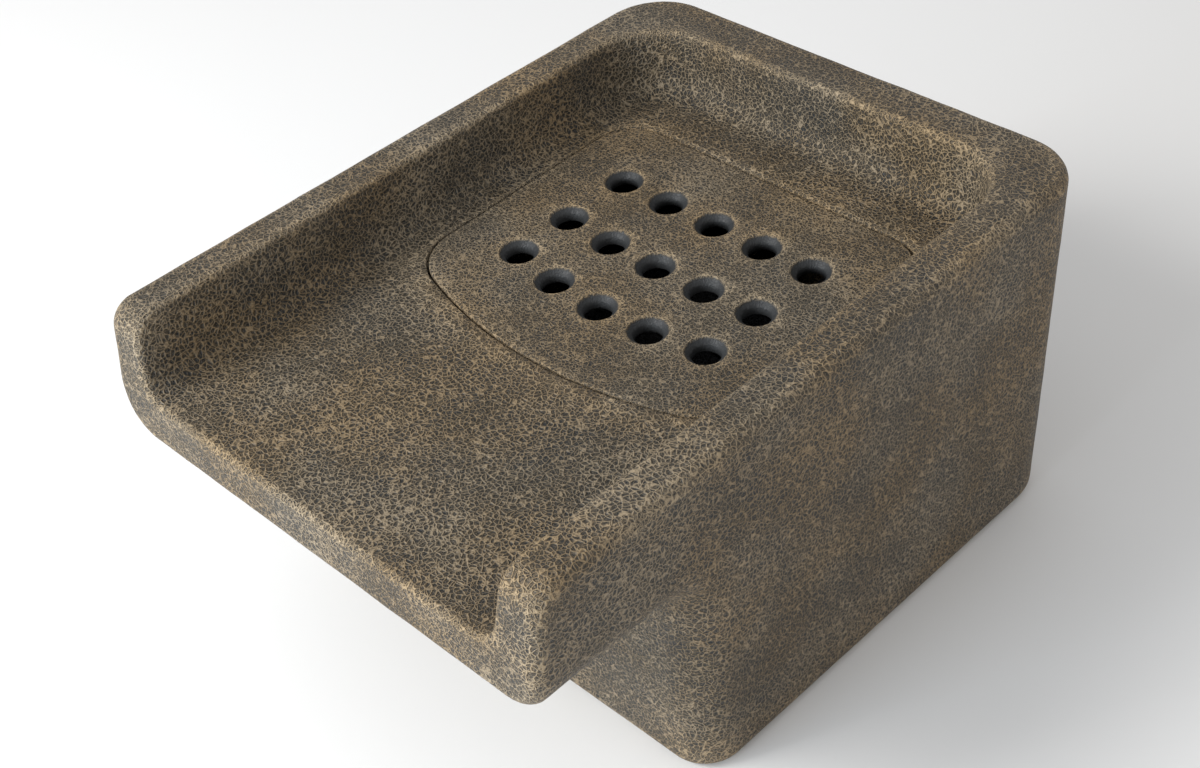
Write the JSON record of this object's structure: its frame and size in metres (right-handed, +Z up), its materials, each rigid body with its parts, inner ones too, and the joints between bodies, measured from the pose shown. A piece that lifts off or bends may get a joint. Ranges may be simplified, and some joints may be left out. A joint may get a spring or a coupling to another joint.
{
  "type": "fountain spillway basin",
  "caption": "Stone-look moulded fountain basin with a sloping tray, an overhanging spill lip and a removable perforated lid over a hollow water chamber.",
  "frame": {"origin": "centre of the base on the ground", "axes": "+Z up, +Y from the spill lip to the rear wall and the hose inlet, +X across the width"},
  "size_m": [0.3994, 0.591, 0.278],
  "materials": {
    "stone_body": "moulded rough stone grain, bronze wash on the high spots",
    "stone_lid": "moulded fine stone grain, bronze wash on the high spots",
    "seal_rubber": "matt",
    "fitting_grey": "moulded, satin",
    "fitting_black": "moulded, satin",
    "grid_black": "moulded, matt",
    "coarse_foam": "open-cell filter foam, coarse",
    "fine_foam": "open-cell filter foam, fine"
  },
  "bodies": {
    "basin": {"basin_shell": "stone_body", "lid_pads": "seal_rubber", "inlet_body": "fitting_grey", "inlet_gasket": "seal_rubber", "inlet_washer": "fitting_grey", "inlet_nut": "fitting_black", "inlet_elbow": "fitting_grey", "hose_seal": "seal_rubber", "hose_tail": "fitting_black", "drain_body": "fitting_grey", "drain_gasket": "seal_rubber", "drain_washer": "fitting_grey", "drain_nut": "fitting_black"},
    "lid": {"lid": "stone_lid"},
    "union_nut": {"union_nut": "fitting_black"},
    "drain_seal": {"drain_seal": "seal_rubber"},
    "drain_cap": {"drain_cap": "fitting_black"},
    "media": {"media_grid": "grid_black", "coarse_mat": "coarse_foam", "fine_mat": "fine_foam"}
  },
  "joints": [
    {"name": "lid_lift", "type": "slide", "parent": "basin", "child": "lid", "axis": [0, 0, 1], "range_m": [0, 0.3]},
    {"name": "media_lift", "type": "slide", "parent": "basin", "child": "media", "axis": [0, 0, 1], "range_m": [0, 0.035]},
    {"name": "union_turn", "type": "hinge", "parent": "basin", "child": "union_nut", "pos_m": [0, 0.2095, 0.062], "axis": [0, 1, 0], "continuous": true},
    {"name": "cap_travel", "type": "slide", "parent": "basin", "child": "drain_seal", "axis": [0, 1, 0], "range_m": [0, 0.012]},
    {"name": "cap_turn", "type": "hinge", "parent": "drain_seal", "child": "drain_cap", "pos_m": [-0.105, 0.211, 0.044], "axis": [0, 1, 0], "range_deg": [0, 1440]}
  ],
  "couplings": [
    {"joint": "cap_travel", "follows": "cap_turn", "m_per_rad": 0.00047746}
  ]
}
